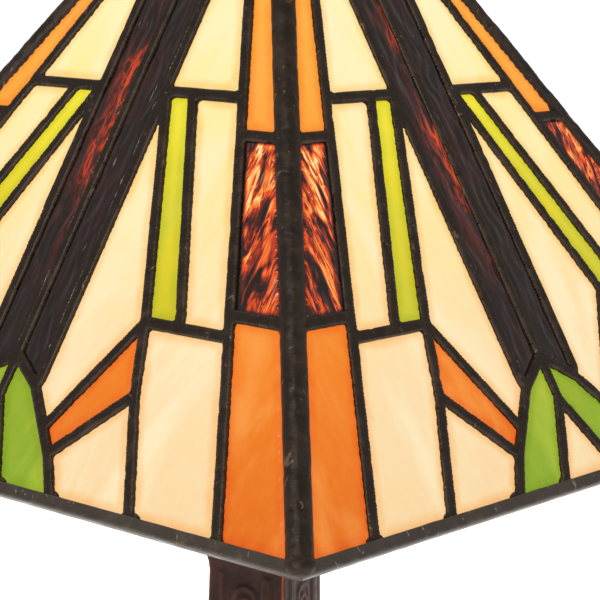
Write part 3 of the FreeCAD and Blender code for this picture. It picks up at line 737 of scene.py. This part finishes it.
ZINC = plain_metal("zinc_steel", (0.28, 0.27, 0.26), (0.44, 0.43, 0.41), 0.34)
BRASS = plain_metal("aged_brass", (0.17, 0.10, 0.04), (0.34, 0.22, 0.09), 0.34)
NICKEL = plain_metal("nickel_contact", (0.40, 0.39, 0.37), (0.58, 0.57, 0.55), 0.27)
IRON = plain_metal("ballast_iron", (0.05, 0.05, 0.05), (0.12, 0.11, 0.10), 0.62, 60.0, 0.6)
STEEL = plain_metal("cover_steel", (0.25, 0.25, 0.25), (0.38, 0.38, 0.37), 0.38)
CERAMIC = soft_matter("socket_ceramic", (0.70, 0.68, 0.62), (0.82, 0.80, 0.75), 0.25, 60.0, 0.0003)
KEY = soft_matter("key_plastic", (0.012, 0.012, 0.012), (0.03, 0.028, 0.026), 0.28, 150.0, 0.0003)
RUBBER = soft_matter("rubber", (0.012, 0.012, 0.012), (0.03, 0.03, 0.03), 0.6, 200.0, 0.0003)
FELT = soft_matter("felt", (0.012, 0.035, 0.018), (0.03, 0.07, 0.035), 0.9, 900.0, 0.0008, 0.4)
BULB = lit_bulb("bulb_glass")

for node in ("threaded_rod", "rod_nuts", "rod_washers"):
    finish_node(node, ZINC)
for node in ("cluster_cup", "cluster_arms"):
    finish_node(node, BRASS)
for side in ("front", "back"):
    finish_node("socket_cap_" + side, BRASS)
    finish_node("socket_shell_" + side, BRASS)
    finish_node("socket_liner_" + side, CERAMIC)
    finish_node("centre_contact_" + side, NICKEL)
    finish_node("bulb_base_" + side, NICKEL)
    finish_node("turn_key_" + side, KEY)
    finish_node("bulb_glass_" + side, BULB)
finish_node("cord_bushing", RUBBER)
finish_node("ballast_plate", IRON)
finish_node("bottom_cover", STEEL)
finish_node("cover_screws", STEEL)
finish_node("felt_pad", FELT)


# ================================================================ studio
FLOOR_HALF = 30.0
DRUM_RADIUS = 25.0
WORLD_STRENGTH = 0.35
LIGHTS_AIM = (0.0, 0.0, 0.35)
BULB_WATTS = 0.08
BULB_GLOW_RADIUS = 30 * MM


def make_floor():
    """A wide, pale, matt floor, which glows a little so that it stays white."""
    work = bmesh.new()
    bmesh.ops.create_grid(work, x_segments=8, y_segments=8, size=FLOOR_HALF)
    floor = new_object("studio_floor", finished(work, "studio_floor"))
    shader = Shader("studio_floor")
    soft = shader.noise(shader.position(), 3.0)
    shader.set(Base_Color=shader.mix(soft, (0.86, 0.86, 0.86), (0.90, 0.90, 0.90)), Roughness=0.9,
               Specular_IOR_Level=0.0, Emission_Color=(1.0, 1.0, 1.0), Emission_Strength=0.75)
    floor.data.materials.append(shader.material)


def make_backdrop():
    """A wide white drum round the set, there for the camera only, so that it adds no light."""
    work = bmesh.new()
    bmesh.ops.create_cone(work, segments=64, radius1=DRUM_RADIUS, radius2=DRUM_RADIUS, depth=2 * DRUM_RADIUS)
    drum = new_object("studio_backdrop", finished(work, "studio_backdrop"))
    drum.visible_diffuse = False
    drum.visible_glossy = False
    drum.visible_transmission = False
    drum.visible_shadow = False
    shader = Shader("studio_backdrop")
    shader.set(Base_Color=(0.0, 0.0, 0.0), Specular_IOR_Level=0.0, Emission_Color=(1.0, 1.0, 1.0),
               Emission_Strength=1.1)
    drum.data.materials.append(shader.material)


def area_light(name, place, size, watts, colour):
    """A square soft light, aimed at the lamp."""
    data = bpy.data.lights.new(name, "AREA")
    data.shape = "SQUARE"
    data.size = size
    data.energy = watts
    data.color = colour
    light = new_object(name, data)
    light.location = place
    light.rotation_euler = (Vector(LIGHTS_AIM) - Vector(place)).to_track_quat("-Z", "Y").to_euler()


def bulb_light(name, place):
    """The faint warm light that a bulb casts."""
    data = bpy.data.lights.new(name, "POINT")
    data.energy = BULB_WATTS
    data.color = (1.0, 0.80, 0.55)
    data.shadow_soft_size = BULB_GLOW_RADIUS
    light = new_object(name, data)
    light.location = place


def make_world():
    """Even white light from all round."""
    world = bpy.data.worlds.new("studio")
    world.use_nodes = True
    background = world.node_tree.nodes["Background"]
    background.inputs["Color"].default_value = (1.0, 1.0, 1.0, 1.0)
    background.inputs["Strength"].default_value = WORLD_STRENGTH
    bpy.context.scene.world = world


# the camera's place and aim, from the axis of the shade at the height of its rim
CAMERA_AZIMUTH = math.radians(-47.77)
CAMERA_DISTANCE = 951.8 * MM
CAMERA_PITCH = math.radians(9.768)
CAMERA_PAN = -0.0148
CAMERA_ROLL = math.radians(-0.9755)
AIM_HEIGHT = 52.2 * MM
LENS = 127.24


def make_camera():
    """The photograph's view."""
    outward = Vector((math.cos(CAMERA_AZIMUTH), math.sin(CAMERA_AZIMUTH), 0.0))
    target = Vector((0, 0, RIM_Z + AIM_HEIGHT))
    towards = outward * math.cos(CAMERA_PITCH) + Vector((0, 0, math.sin(CAMERA_PITCH)))
    place = target + towards * CAMERA_DISTANCE
    pan = Matrix.Rotation(CAMERA_PAN, 3, "Z")
    forward = pan @ (target - place).normalized()
    right = pan @ Vector((-outward.y, outward.x, 0.0))
    up = right.cross(forward)
    rolled_right = right * math.cos(CAMERA_ROLL) - up * math.sin(CAMERA_ROLL)
    rolled_up = right * math.sin(CAMERA_ROLL) + up * math.cos(CAMERA_ROLL)
    data = bpy.data.cameras.new("camera")
    data.sensor_width = 36.0
    data.lens = LENS
    data.clip_end = 100.0
    camera = new_object("camera", data)
    turn = Matrix((rolled_right, rolled_up, -forward)).transposed().to_4x4()
    camera.matrix_world = Matrix.Translation(place) @ turn
    bpy.context.scene.camera = camera


make_floor()
make_backdrop()
make_world()
area_light("key", (0.4, -2.4, 2.2), 1.6, 45.0, (1.0, 0.99, 0.97))
area_light("fill", (2.6, 0.4, 1.2), 1.6, 12.0, (0.97, 0.98, 1.0))
area_light("back_rim", (-1.8, 1.8, 2.4), 1.8, 30.0, (1.0, 1.0, 1.0))
for node in ("bulb_glass_front", "bulb_glass_back"):
    low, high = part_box(node)
    bulb_light(node + "_light", (low + high) / 2)
make_camera()
bpy.context.scene.view_settings.view_transform = "Standard"
